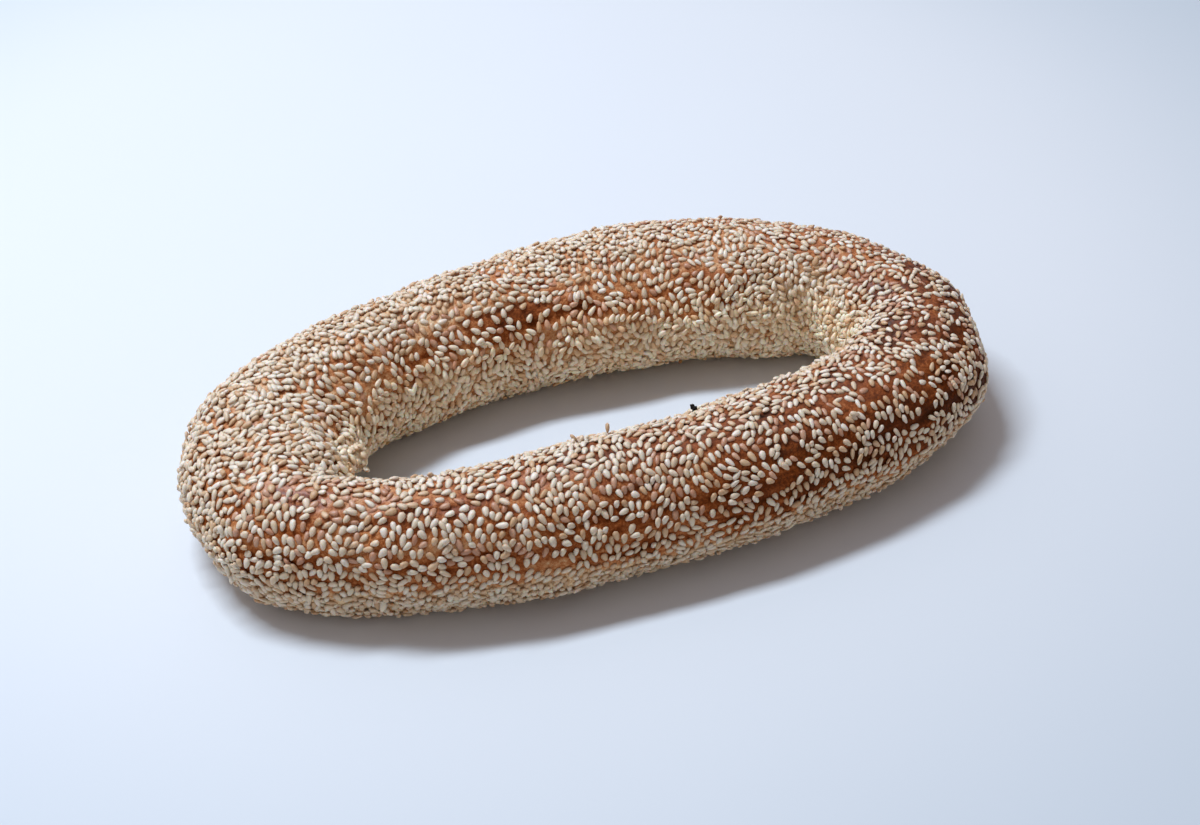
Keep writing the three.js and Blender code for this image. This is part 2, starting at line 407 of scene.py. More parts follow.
def browned(turn, roll):
    turns, outer, top, hole = np.array(heatWithPaintedLightByTurn).T
    wrapped = np.mod(turn / degree, 360)
    rollDegrees = roll / degree
    toTop = smooth(rollDegrees, *heatLook["topRolls"])
    toHole = smooth(rollDegrees, *heatLook["holeRolls"])
    low = smooth(-rollDegrees, *(-limit for limit in heatLook["lowRolls"]))
    # painted light: the top column paints the lit crest paler, and the outer column paints the shaded flank
    # darker
    heat = np.interp(wrapped, turns, outer) * (1 - toTop) + np.interp(wrapped, turns, top) * toTop
    heat = heat * (1 - toHole) + np.interp(wrapped, turns, hole) * toHole
    heat = heat * (1 - heatLook["lowPaleness"] * low)
    streak = heatLook["streak"]
    across = np.exp(-((rollDegrees - streak["roll"]) / streak["halfWidth"]) ** 2)
    heat = heat + streak["heat"] * across * smooth(np.sin(turn), *streak["sines"])
    for patch in palePatches:
        heat = heat - patch[4] * patchShare(turn, roll, patch)
    tones = heatLook["broadTones"] * skinField("broadTones", turn, roll)
    tones = tones + heatLook["smallTones"] * skinField("smallTones", turn, roll)
    tones = tones + heatLook["wrinkles"] * skinField("wrinkles", turn, roll)
    return np.clip(heat + tones + heatLook["furrows"] * furrowed(turn, roll), 0, 1)


def crustMaterial():
    shader = Shader(bpy.data.materials.new("bakedCrust"))
    mottle, blister, grain = (shader.noise(*crustPaint[key]) for key in ("mottle", "blister", "grain"))
    tone = shader.attribute("browned") + (mottle - 0.5) * crustPaint["mottleTone"]
    tone = tone + (blister - 0.5) * crustPaint["blisterTone"] + (grain - 0.5) * crustPaint["grainTone"]
    base = shader.ramp(tone, crustPaint["tones"])
    speck = shader.band(blister, *crustPaint["speckBand"]) * crustPaint["speckShare"]
    base = shader.mix(speck, base, opaque(colour(*crustPaint["speckColour"])))
    height = mottle * crustPaint["mottleHeight"] + blister * crustPaint["blisterHeight"]
    height = height + grain * crustPaint["grainHeight"]
    uneven = shader.band(mottle, *crustPaint["roughnessBand"]) * crustPaint["roughnessSwing"]
    return shader.finish({
        "Base Color": base, "Roughness": uneven + crustPaint["roughness"],
        "Normal": shader.bump(height, crustPaint["bump"]),
        "Specular IOR Level": crustPaint["shine"],
        "Coat Weight": shader.attribute("glaze") * crustPaint["glaze"],
        "Coat Roughness": crustPaint["glazeRoughness"]})


def makeCrust():
    # a grid of the skin's lines and the foot's lines, by turn, closed both ways
    turns = np.linspace(0, fullTurn, crustLook["alongRing"] + 1)[:-1]
    rolls = np.linspace(*skinRolls, crustLook["aroundRope"] + 1)
    turn, roll = np.meshgrid(turns, rolls, indexing="ij")
    skin = crustPoint(turn, roll)
    share = np.linspace(0, 1, crustLook["acrossFoot"] + 1)[1:-1]
    foot = skin[:, -1:] + (skin[:, :1] - skin[:, -1:]) * share[None, :, None]
    footRoll = np.broadcast_to(skinRolls[1] + share * (math.pi - 2 * footEdge), foot.shape[:2])
    footTurn = np.repeat(turns[:, None], len(share), 1)
    foot[..., 2] += crustLook["footSwells"] * skinField("footSwells", footTurn, footRoll)
    grid = np.concatenate([skin, foot], 1)
    lines = grid.shape[1]
    index = np.arange(grid.shape[0] * lines).reshape(-1, lines)
    nextTurn = np.roll(index, -1, 0)
    nextRoll = np.roll(index, -1, 1)
    quads = np.stack([index, nextTurn, np.roll(nextTurn, -1, 1), nextRoll], -1).reshape(-1, 4)
    heat = browned(np.repeat(turns[:, None], lines, 1), np.concatenate([roll, footRoll], 1))
    glaze = smooth(grid[..., 2], *crustLook["glazeHeights"])
    attributes = {"browned": heat.ravel(), "glaze": glaze.ravel()}
    piece = addMesh("crust", grid.reshape(-1, 3), [quads], attributes, crustMaterial())
    keep(piece)


makeCrust()
print("crust made")


seedForm = {
    "length": 3.22, "width": 1.86, "thickness": 1.20,
    "lengthSpread": 0.32, "widthSpread": 0.17, "thicknessSpread": 0.12,
    "middle": 1.03, "swing": 0.07,          # seeds are larger towards -X and smaller towards +X
    "sides": 6,
    "rings": [-0.82, -0.38, 0.18, 0.70],    # shares of the half length
    "taper": 0.25, "slimness": 1.03,        # fuller towards one end, and then slimmer all over
}
# share of the skin under seeds: rolls across, and turns down
coverRolls = [-64, -25, -8, 14, 45, 75, 100, 125, 148, 170, 244]
coverByTurn = [
    (0, 0.88, 0.84, 0.72, 0.53, 0.45, 0.47, 0.57, 0.84, 0.96, 0.97, 0.97),
    (45, 0.92, 0.88, 0.76, 0.67, 0.70, 0.79, 0.85, 0.91, 0.96, 0.97, 0.97),
    (95, 0.92, 0.90, 0.86, 0.87, 0.92, 0.95, 0.94, 0.68, 0.56, 0.86, 0.97),
    (140, 0.92, 0.90, 0.88, 0.90, 0.93, 0.94, 0.91, 0.72, 0.64, 0.92, 0.97),
    (180, 0.95, 0.96, 0.95, 0.93, 0.92, 0.90, 0.89, 0.92, 0.96, 0.98, 0.98),
    (212, 0.95, 0.96, 0.91, 0.80, 0.76, 0.79, 0.83, 0.89, 0.96, 0.98, 0.98),
    (240, 0.93, 0.91, 0.81, 0.69, 0.67, 0.78, 0.84, 0.88, 0.95, 0.97, 0.97),
    (265, 0.93, 0.93, 0.80, 0.58, 0.67, 0.80, 0.86, 0.89, 0.96, 0.97, 0.97),
    (315, 0.92, 0.86, 0.64, 0.61, 0.50, 0.51, 0.67, 0.86, 0.96, 0.98, 0.98),
    (360, 0.88, 0.84, 0.72, 0.53, 0.45, 0.47, 0.57, 0.84, 0.96, 0.97, 0.97)]
# turn, roll, length along, length round, and how much of the cover is gone
barePatches = [
    (253, 2, 11, 3.5, 0.8), (270, -9, 7, 3, 0.9), (262, 24, 8, 3, 0.6), (298, 71, 10, 4, 0.5),
    (226, 61, 7, 5, 0.35), (20, 60, 10, 4, 0.5), (135, 52, 8, 5, 0.6), (100, 140, 16, 3, 0.35),
    (284, 12, 9, 3.5, 0.5), (96, 84, 6, 4, 0.6), (305, 40, 14, 2.5, 0.6), (118, 136, 8, 2.5, 0.5),
    (80, 132, 8, 2.5, 0.5), (107, 128, 7, 2, 0.5), (90, 146, 8, 2, 0.5), (72, 140, 8, 2, 0.5),
    (128, 146, 8, 2.5, 0.5), (64, 128, 7, 2, 0.5)]
# seeds come in tufts and rows, and more of these are let in where more cover is wanted
tufting = {
    "tufts": 0.42, "smallTufts": 0.84, "rows": 0.46,
    "packing": 0.72,            # share of the skin that a full layer covers
    "fullest": (0.02, 1.3),     # limits of the wanted cover over the packing
    "fullness": [0, 0.1, 0.3, 0.5, 0.7, 0.9, 1, 1.3],
    "limits": [-2.2, -1.3, -0.55, 0, 0.55, 1.3, 2.4, 9],
    "overdraw": 3,              # places drawn for each that is asked for
    "areaLimit": 0.999,         # quantile of the skin's area that always stays
}


def coverAt(turn, roll):
    rows = np.array(coverByTurn)
    byRoll = [np.interp(roll / degree, coverRolls, row) for row in rows[:, 1:]]
    wrapped = np.mod(turn / degree, 360)
    cover = np.zeros_like(turn)
    for low, high, first, second in zip(rows[:-1, 0], rows[1:, 0], byRoll[:-1], byRoll[1:]):
        share = np.clip((wrapped - low) / (high - low), 0, 1)
        cover = np.where(wrapped >= low, first + (second - first) * share, cover)
    for patch in barePatches:
        cover = cover * (1 - patch[4] * patchShare(turn, roll, patch))
    return cover


def skinFrame(turn, roll, step=0.7):
    # places on the crust with their directions along the ring, round the rope and out, smoothed over step
    ahead = crustPoint(turn + step / ringRadius, roll, False)
    behind = crustPoint(turn - step / ringRadius, roll, False)
    over = crustPoint(turn, roll + step / ropeRadius, False)
    under = crustPoint(turn, roll - step / ropeRadius, False)
    around = over - under
    out = np.cross(ahead - behind, around)
    out /= np.linalg.norm(out, axis=-1, keepdims=True)
    around /= np.linalg.norm(around, axis=-1, keepdims=True)
    return (ahead + behind + over + under) / 4, np.cross(around, out), around, out


def skinArea(turn, roll, step=1e-3):
    # square millimetres for a square radian of turn and roll
    point = plainSkin(turn, roll)[0]
    along = plainSkin(turn + step, roll)[0] - point
    around = plainSkin(turn, roll + step)[0] - point
    return np.linalg.norm(np.cross(along, around), axis=-1) / step ** 2


def candidatePlaces(draw, count):
    # even over the area of the skin, thinned by the wanted cover
    tries = count * tufting["overdraw"]
    turn = draw.uniform(0, fullTurn, tries)
    roll = draw.uniform(*skinRolls, tries)
    area = skinArea(turn, roll)
    chosen = draw.uniform(0, 1, tries) < area / np.quantile(area, tufting["areaLimit"])
    turn = turn[chosen][:count]
    roll = roll[chosen][:count]
    tuft = sum(tufting[name] * skinField(name, turn, roll) for name in ("tufts", "smallTufts", "rows"))
    cover = coverAt(turn, roll)
    wanted = np.clip(cover / tufting["packing"], *tufting["fullest"])
    inside = tuft < np.interp(wanted, tufting["fullness"], tufting["limits"])
    return turn[inside], roll[inside], cover[inside]


def reach(axis, half, direction):
    # radius of an ellipse of half sizes (long, short) along a direction
    cosine = sum(a * b for a, b in zip(axis, direction))
    longPart = half[1] * cosine
    shortPart = half[0] * math.sqrt(max(0.0, 1 - cosine * cosine))
    return half[0] * half[1] / math.sqrt(longPart * longPart + shortPart * shortPart + 1e-12)


widestReach = 3.6        # seeds further apart than this never touch
neighbours = [(i, j, k) for i in (-1, 0, 1) for j in (-1, 0, 1) for k in (-1, 0, 1)]


def crowds(first, second, gap):
    # whether two seeds, each a place, an axis and half sizes, come closer than gap times touching
    away = [a - b for a, b in zip(first[0], second[0])]
    distance = math.sqrt(away[0] * away[0] + away[1] * away[1] + away[2] * away[2])
    if distance > widestReach:
        return False
    direction = [part / (distance + 1e-9) for part in away]
    needed = reach(first[1], first[2], direction) + reach(second[1], second[2], direction)
    return distance < gap * needed


def settle(points, axes, halves, gaps):
    # keeps each candidate that doesn't crowd one already kept, and gives their numbers
    kept = []
    cells = {}
    candidates = zip(points.tolist(), axes.tolist(), halves.tolist())
    for number, (seed, gap) in enumerate(zip(candidates, gaps)):
        x, y, z = (math.floor(part / widestReach) for part in seed[0])
        near = (other for i, j, k in neighbours for other in cells.get((x + i, y + j, z + k), ()))
        if not any(crowds(seed, other, gap) for other in near):
            kept.append(number)
            cells.setdefault((x, y, z), []).append(seed)
    return np.array(kept)


def seedSizes(draw, turn):
    sizes = []
    for key in ("length", "width", "thickness"):
        wide = seedForm[key + "Spread"]
        sizes.append(seedForm[key] + np.clip(draw.normal(0, wide, len(turn)), -2 * wide, 2 * wide))
    return np.stack(sizes, -1) * (seedForm["middle"] - seedForm["swing"] * np.cos(turn))[:, None]


def turnedAxis(along, around, heading):
    return along * np.cos(heading)[:, None] + around * np.sin(heading)[:, None]


def unitRows(vectors):
    return vectors / np.linalg.norm(vectors, axis=-1, keepdims=True)


def layer(name, kept, **parts):
    # the kept seeds of a layer, with 0 for what the layer leaves out
    for key in ("lift", "tip", "lean", "crowded", "sink"):
        parts.setdefault(key, np.zeros(len(parts["point"])))
    seeds = {key: values[kept] for key, values in parts.items()}
    print(name, "seeds", len(seeds["point"]))
    return seeds


lying = {
    "seed": 5, "tries": 120000,
    "covers": [0.60, 0.75, 0.85, 0.97],
    "gaps": [0.86, 0.82, 0.76, 0.66],       # how close seeds come at these covers, as a share of touching
    "crowdedCovers": (0.70, 0.94),
    "heading": 90, "headingSpread": 0.26,   # mostly round the rope
    "crownTurn": 78, "crownRoll": 100, "crownWidth": 32,        # but along it on the crown
    "limbSines": (0.35, 0.85),              # of the two long sides
    "swirl": 0.5, "crownSwirl": 0.35, "twist": 0.42,
    "sink": (0.14, 0.54), "tip": 6, "lean": 7,
    "crowdedSpread": 0.5, "crowdedTip": 5, "crowdedLift": 0.08,
    # the share of seeds that stand off the skin, and how
    "bold": 0.04, "crowdedBold": 0.03, "boldTip": (14, 34), "boldLift": 0.25,
}


def lyingSeeds():
    # the layer that is baked into the skin
    draw = np.random.default_rng(lying["seed"])
    turn, roll, cover = candidatePlaces(draw, lying["tries"])
    point, along, around, out = skinFrame(turn, roll)
    count = len(turn)
    crowded = smooth(cover, *lying["crowdedCovers"])
    crown = np.exp(-(((roll / degree - lying["crownRoll"]) / lying["crownWidth"]) ** 2))
    limb = smooth(np.abs(np.sin(turn)), *lying["limbSines"])
    swirl = skinField("swirl", turn, roll) * (lying["swirl"] + lying["crownSwirl"] * crown)
    twist = lying["twist"] * skinField("twist", turn, roll)
    heading = (lying["heading"] - lying["crownTurn"] * crown * limb) * degree + swirl + twist
    heading = heading + draw.normal(0, lying["headingSpread"], count)
    axis = turnedAxis(along, around, heading)
    sizes = seedSizes(draw, turn)
    kept = settle(point, axis, sizes[:, :2] / 2, np.interp(cover, lying["covers"], lying["gaps"]))
    sink = draw.uniform(*lying["sink"], count)
    looser = 1 + lying["crowdedSpread"] * crowded
    tip = draw.normal(0, lying["tip"] * degree, count) * looser + lying["crowdedTip"] * degree * crowded
    bold = draw.uniform(0, 1, count) < lying["bold"] + lying["crowdedBold"] * crowded
    tip = np.where(bold, draw.uniform(*lying["boldTip"], count) * degree, tip)
    lean = draw.normal(0, lying["lean"] * degree, count) * looser
    lift = sizes[:, 2] / 2 - sink + np.where(bold, lying["boldLift"], 0) + lying["crowdedLift"] * crowded
    return layer("lying", kept, point=point, axis=axis, out=out, sizes=sizes, roll=roll,
                 lift=lift, tip=tip, lean=lean, crowded=crowded, sink=sink)


loose = {
    "seed": 6, "tries": 13800,
    "covers": (0.84, 0.97), "share": 0.86, "anywhere": 0.012,   # how many lie where the skin is that full
    "heading": 90, "headingSpread": 0.6, "swirl": 0.6,
    "gap": 1.02, "lift": (0.12, 0.5), "tip": 12, "lean": 12,
}


def looseSeeds():
    # a second, thinner layer that lies on the first where seeds are crowded
    draw = np.random.default_rng(loose["seed"])
    turn, roll, cover = candidatePlaces(draw, loose["tries"])
    wanted = smooth(cover, *loose["covers"]) * loose["share"] + loose["anywhere"]
    chosen = draw.uniform(0, 1, len(turn)) < wanted
    turn = turn[chosen]
    roll = roll[chosen]
    count = len(turn)
    point, along, around, out = skinFrame(turn, roll)
    swirl = skinField("swirl", turn, roll) * loose["swirl"]
    heading = loose["heading"] * degree + swirl + draw.normal(0, loose["headingSpread"], count)
    axis = turnedAxis(along, around, heading)
    sizes = seedSizes(draw, turn)
    kept = settle(point, axis, sizes[:, :2] / 2, np.full(count, loose["gap"]))
    lift = sizes[:, 2] / 2 + draw.uniform(*loose["lift"], count)
    tip = draw.normal(0, loose["tip"] * degree, count)
    lean = draw.normal(0, loose["lean"] * degree, count)
    return layer("loose", kept, point=point, axis=axis, out=out, sizes=sizes, roll=roll,
                 lift=lift, tip=tip, lean=lean, crowded=np.ones(count))


pressed = {
    "seed": 7, "tries": 5200,
    "across": (0.02, 0.98),     # from the outer to the inner edge of the foot
    "flatness": 0.85, "depth": 0.01, "sink": 0.5,
    "tuftSpan": 3, "tuftLimit": 0.7,
}


def footSeeds():
    # pressed flat under the ring
    draw = np.random.default_rng(pressed["seed"])
    tries = pressed["tries"]
    turn = draw.uniform(0, fullTurn, tries)
    share = draw.uniform(*pressed["across"], tries)
    near, far = (plainSkin(turn, np.full(tries, edge))[0] for edge in skinRolls)
    point = near + (far - near) * share[:, None]
    heading = draw.uniform(0, math.pi, tries)
    axis = np.stack([np.cos(heading), np.sin(heading), np.zeros(tries)], -1)
    sizes = seedSizes(draw, turn) * [1, 1, pressed["flatness"]]
    width = np.linalg.norm(far - near, axis=-1)
    even = draw.uniform(0, 1, tries) < width / width.max()
    chosen = even & (skinField("footTufts", turn, share * pressed["tuftSpan"]) < pressed["tuftLimit"])
    point, axis, sizes = point[chosen], axis[chosen], sizes[chosen]
    count = len(point)
    kept = settle(point, axis, sizes[:, :2] / 2, np.ones(count))
    down = np.tile([0.0, 0.0, -1.0], (count, 1))
    return layer("foot", kept, point=point, axis=axis, out=down, sizes=sizes,
                 roll=np.full(count, -math.pi / 2), lift=-sizes[:, 2] / 2 - pressed["depth"],
                 sink=np.full(count, pressed["sink"]))


heap = {
    "seed": 9, "count": 40, "tries": 480,
    "turn": 167.5, "roll": 173, "turnSpread": 3.6, "rollSpread": 9.0, "radius": 3.1,
    "lift": (0.1, 3.0), "gap": 0.50, "tip": 16, "lean": 14,
    "steep": 0.5, "facing": (0.0, -0.3, 0.8),       # their broad sides turn this way
    "crowded": 2.0,
}


def heapSeeds():
    # seeds heaped on the knob at the hole's -X end
    draw = np.random.default_rng(heap["seed"])
    tries = heap["tries"]
    turn = (heap["turn"] + draw.normal(0, heap["turnSpread"], tries)) * degree
    roll = (heap["roll"] + draw.normal(0, heap["rollSpread"], tries)) * degree
    point, along, around, out = skinFrame(turn, roll)
    middle = crustPoint(np.array([heap["turn"] * degree]), np.array([heap["roll"] * degree]), False)
    sizes = seedSizes(draw, turn)
    axis = turnedAxis(along, around, draw.uniform(0, math.pi, tries))
    spots = point + out * draw.uniform(*heap["lift"], tries)[:, None]
    inside = np.flatnonzero(np.linalg.norm(point - middle, axis=-1) < heap["radius"])
    gaps = np.full(len(inside), heap["gap"])
    kept = inside[settle(spots[inside], axis[inside], sizes[inside, :2] / 2, gaps)][:heap["count"]]
    spots = spots + out * sizes[:, 2:] / 2
    out = unitRows(out * heap["steep"] + np.array(heap["facing"]))
    axis = unitRows(axis - out * (axis * out).sum(-1, keepdims=True))
    tip = draw.normal(0, heap["tip"] * degree, tries)
    lean = draw.normal(0, heap["lean"] * degree, tries)
    return layer("heap", kept, point=spots, axis=axis, out=out, sizes=sizes, roll=roll,
                 tip=tip, lean=lean, crowded=np.full(tries, heap["crowded"]))


# seeds on end at the near crest: how far each leans from upright, and how far it stands proud
standing = [
    {"turn": 266, "roll": 124, "lean": 12, "proud": 4.3},       # the tallest, a toasted one
    {"turn": 260, "roll": 122, "lean": -35, "proud": 3.4},
    {"turn": 260.8, "roll": 118, "lean": 30, "proud": 3.0},
    {"turn": 261.6, "roll": 121, "lean": 62, "proud": 2.6},
    {"turn": 259.3, "roll": 118, "lean": 20, "proud": 2.6},
]


def standingSeeds():
    keys = ("turn", "roll", "lean", "proud")
    turn, roll, lean, proud = (np.array([one[key] for one in standing]) for key in keys)
    point, along, around, out = skinFrame(turn * degree, roll * degree)
    sizes = np.tile([seedForm["length"], seedForm["width"], seedForm["thickness"]], (len(standing), 1))
    return layer("standing", slice(None), point=point, axis=along, out=out, sizes=sizes,
                 roll=roll * degree, lift=proud - sizes[:, 0] / 2, tip=(90 - lean) * degree)


def unitSeed():
    # a plump drop, pointed at one end: corners in shares of the half sizes, end caps and sides
    sides = seedForm["sides"]
    rings = seedForm["rings"]
    angles = np.linspace(0, fullTurn, sides + 1)[:-1]
    corners = [(-1.0, 0.0, 0.0)]
    for place in rings:
        girth = math.sqrt(max(0.0, 1 - place ** 2)) * (1 + seedForm["taper"] * place) / seedForm["slimness"]
        corners += [(place, girth * math.cos(angle), girth * math.sin(angle)) for angle in angles]
    corners.append((1.0, 0.0, 0.0))

    def corner(row, side):
        return 1 + row * sides + side % sides

    first = 0
    last = len(corners) - 1
    end = len(rings) - 1
    caps = [(first, corner(0, side + 1), corner(0, side)) for side in range(sides)]
    caps += [(last, corner(end, side), corner(end, side + 1)) for side in range(sides)]
    quads = [(corner(row, side), corner(row, side + 1), corner(row + 1, side + 1), corner(row + 1, side))
             for row in range(end) for side in range(sides)]
    return np.array(corners), np.array(caps), np.array(quads)


def seedCorners(seeds, unit):
    # every corner of every seed, seeds by corners by 3, with none under the table
    axis, out = seeds["axis"], seeds["out"]
    tip, lean = seeds["tip"][:, None], seeds["lean"][:, None]
    long = axis * np.cos(tip) + out * np.sin(tip)
    flatUp = out * np.cos(tip) - axis * np.sin(tip)
    flatSide = np.cross(out, axis)
    side = flatSide * np.cos(lean) + flatUp * np.sin(lean)
    up = flatUp * np.cos(lean) - flatSide * np.sin(lean)
    half = seeds["sizes"] / 2
    placed = (seeds["point"] + out * seeds["lift"][:, None])[:, None]
    for number, direction in enumerate((long, side, up)):
        placed = placed + unit[None, :, number, None] * (direction * half[:, number:number + 1])[:, None]
    placed[..., 2] -= np.minimum(placed[..., 2].min(1), 0)[:, None]
    return placed


seedPaint = {
    "blotch": (0.9, 2.0, 0.5), "dimple": (0.35, 2.0, 0.5), "bump": 0.03,    # noise size, detail, roughness
    "toneStops": (0.2, 0.8), "blotchTone": 0.2,
    "toast": (0.62, 1.05), "toastBlotch": 0.5, "toastShare": 0.7,           # towards the seed's tips
    # the underside mix is partly glaze that climbs the seed, partly painted contact shade and painted warm
    # bounce from the crust
    "under": (0.0, 0.85), "underBlotch": 0.4, "underShare": 0.5,            # towards its underside
    # the hole's tint, above 1, keeps the hole's seeds pale and also paints fill light onto them
    "lowTint": (0.885, 0.865, 0.81), "bakedTint": (0.885, 0.86, 0.83), "holeTintAndFillLight": (1.18, 1.15, 1.05),
    "glow": 0.5, "glowRadius": (1.0, 0.6, 0.35), "glowDepth": 0.5,          # light let through the seed
}
# the toasted kind is what the shares leave over, and the glazed kind is seeds sunk in the glaze
seedKinds = [
    {"name": "ivorySeeds", "slot": "sesame", "share": 0.26, "roughness": 0.42,
     "dark": (224, 210, 190), "light": (236, 225, 209), "tip": (212, 172, 134)},
    {"name": "creamSeeds", "slot": "sesame", "share": 0.26, "roughness": 0.44,
     "dark": (219, 201, 176), "light": (232, 217, 196), "tip": (206, 162, 122)},
    {"name": "strawSeeds", "slot": "sesame", "share": 0.25, "roughness": 0.46,
     "dark": (215, 193, 165), "light": (228, 210, 186), "tip": (198, 150, 108)},
    {"name": "toastedSeeds", "slot": "toasted_sesame", "roughness": 0.46,
     "dark": (202, 165, 126), "light": (217, 186, 152), "tip": (178, 124, 86)},
    {"name": "glazedSeeds", "slot": "toasted_sesame", "roughness": 0.40,
     "dark": (188, 138, 108), "light": (208, 166, 138), "tip": (158, 102, 74)},
]
toasted, glazed = 3, 4          # their places in the list
sorting = {
    "seed": 8,
    "bakedHeights": (20, 36),               # the oven tints seeds over these heights
    # seeds on the hole's wall are paler unbaked ones, painted brighter still as a painted fill light; the
    # heap gets half of it
    "holeRolls": (132, 165), "heapPaleAndLitShare": 0.5,       # the hole's wall keeps its seeds pale
    "crownHeights": (18, 34),
    "glazedSink": 0.43, "glazedCrown": 0.3, "glazedLot": 0.35,
    "crowdedPaler": 0.10,
}


def seedMaterial(kind):
    shader = Shader(bpy.data.materials.new(kind["name"]))
    tip = opaque(colour(*kind["tip"]))
    blotch = shader.noise(*seedPaint["blotch"])
    share = seedPaint["blotchTone"]
    tone = shader.attribute("tone") * (1 - share) + blotch * share
    base = shader.ramp(tone, list(zip(seedPaint["toneStops"], (kind["dark"], kind["light"]))))
    place = shader.attribute("place") + (blotch - 0.5) * seedPaint["toastBlotch"]
    base = shader.mix(shader.band(place, *seedPaint["toast"]) * seedPaint["toastShare"], base, tip)
    # painted fill light: seeds in the hole are multiplied above their own colour by the hole's tint
    low, high, inside = (opaque(seedPaint[key]) for key in ("lowTint", "bakedTint", "holeTintAndFillLight"))
    tint = shader.mix(shader.attribute("baked"), low, high)
    tint = shader.mix(shader.attribute("inHole"), tint, inside)
    base = shader.mix(1.0, base, tint, "MULTIPLY")
    # painted contact shade and crust bounce, with the glaze, on each seed's lower side
    depth = shader.attribute("depth") + (blotch - 0.5) * seedPaint["underBlotch"]
    base = shader.mix(shader.band(depth, *seedPaint["under"]) * seedPaint["underShare"], base, tip)
    return shader.finish({
        "Base Color": base, "Roughness": kind["roughness"],
        "Normal": shader.bump(shader.noise(*seedPaint["dimple"]), seedPaint["bump"]),
        "Subsurface Weight": seedPaint["glow"], "Subsurface Radius": seedPaint["glowRadius"],
        "Subsurface Scale": seedPaint["glowDepth"] * mm})


def makeSeeds():
    layers = [lyingSeeds(), looseSeeds(), heapSeeds(), footSeeds(), standingSeeds()]
    seeds = {key: np.concatenate([one[key] for one in layers]) for key in layers[0]}
    unit, caps, quads = unitSeed()
    corners = seedCorners(seeds, unit)
    count, perSeed = corners.shape[:2]
    height = corners[:, 0, 2]
    draw = np.random.default_rng(sorting["seed"])
    tone = draw.uniform(0, 1, count)
    lot = draw.uniform(0, 1, count)
    heaped = seeds["crowded"] == heap["crowded"]
    inHole = smooth(seeds["roll"] / degree, *sorting["holeRolls"])
    inHole = inHole * np.where(heaped, sorting["heapPaleAndLitShare"], 1.0)
    baked = smooth(height, *sorting["bakedHeights"])
    crown = smooth(height, *sorting["crownHeights"]) * (1 - seeds["crowded"])
    sunk = (seeds["sink"] > sorting["glazedSink"]) & (crown > sorting["glazedCrown"])
    bounds = np.cumsum([kind["share"] for kind in seedKinds[:toasted]])
    kindOf = np.searchsorted(bounds, lot * (1 - sorting["crowdedPaler"] * seeds["crowded"]))
    kindOf = np.where(sunk & (lot > sorting["glazedLot"]), glazed, kindOf)
    kindOf[-len(standing)] = toasted
    print("seeds in all", count)
    for number, kind in enumerate(seedKinds):
        own = np.flatnonzero(kindOf == number)
        first = (np.arange(len(own)) * perSeed)[:, None, None]
        attributes = {key: np.repeat(values[own], perSeed)
                      for key, values in (("tone", tone), ("baked", baked), ("inHole", inHole))}
        attributes["place"] = np.tile(np.abs(unit[:, 0]), len(own))
        attributes["depth"] = np.tile(-unit[:, 2], len(own))
        faces = [(caps[None] + first).reshape(-1, 3), (quads[None] + first).reshape(-1, 4)]
        piece = addMesh(kind["name"], corners[own].reshape(-1, 3), faces, attributes, seedMaterial(kind))
        keep(piece)


makeSeeds()
print("seeds made")


# a burnt crumb at the edge of the hole
crumbLook = {
    "turn": 281.5, "roll": 126, "proud": 2.5,
    "radius": 1.0, "stretch": (0.66, 0.6, 1.15),        # along the ring, round the rope and out
    "subdivisions": 4, "seed": 9,
    "lumps": ((2.2, 0.20), (4.5, 0.12), (9.0, 0.06)), "lumpWaves": 6, "lumpiness": 0.85,
    "ash": (0.4, 3.0, 0.6), "bump": 0.12, "roughness": 0.7, "shine": 0.15,
    "tones": [(0.35, (8, 6, 5)), (0.7, (30, 22, 18))],
}


def makeCrumb():
    mesh = bpy.data.meshes.new("crumbDraft")
    draft = bmesh.new()
    bmesh.ops.create_icosphere(draft, subdivisions=crumbLook["subdivisions"], radius=1)
    draft.to_mesh(mesh)
    draft.free()
    corners = np.array([vertex.co for vertex in mesh.vertices])
    faces = np.array([tuple(face.vertices) for face in mesh.polygons])
    draw = np.random.default_rng(crumbLook["seed"])
    rough = np.ones(len(corners))
    for scale, size in crumbLook["lumps"]:
        for direction in draw.normal(size=(crumbLook["lumpWaves"], 3)):
            wave = np.sin(corners @ direction * scale + draw.uniform(0, fullTurn))
            rough += size * crumbLook["lumpiness"] * wave
    turn = np.array([crumbLook["turn"] * degree])
    roll = np.array([crumbLook["roll"] * degree])
    point, along, around, out = skinFrame(turn, roll)
    shape = corners * rough[:, None] * crumbLook["radius"] * crumbLook["stretch"]
    placed = point + shape @ np.concatenate([along, around, out])
    placed = placed + out * (crumbLook["proud"] - crumbLook["radius"] * crumbLook["stretch"][2])
    shader = Shader(bpy.data.materials.new("charredCrumb"))
    ash = shader.noise(*crumbLook["ash"])
    material = shader.finish({
        "Base Color": shader.ramp(ash, crumbLook["tones"]), "Roughness": crumbLook["roughness"],
        "Normal": shader.bump(ash, crumbLook["bump"]), "Specular IOR Level": crumbLook["shine"]})
    piece = addMesh("burntCrumb", placed, [faces], {}, material)
    keep(piece)


makeCrumb()
print("crumb made")


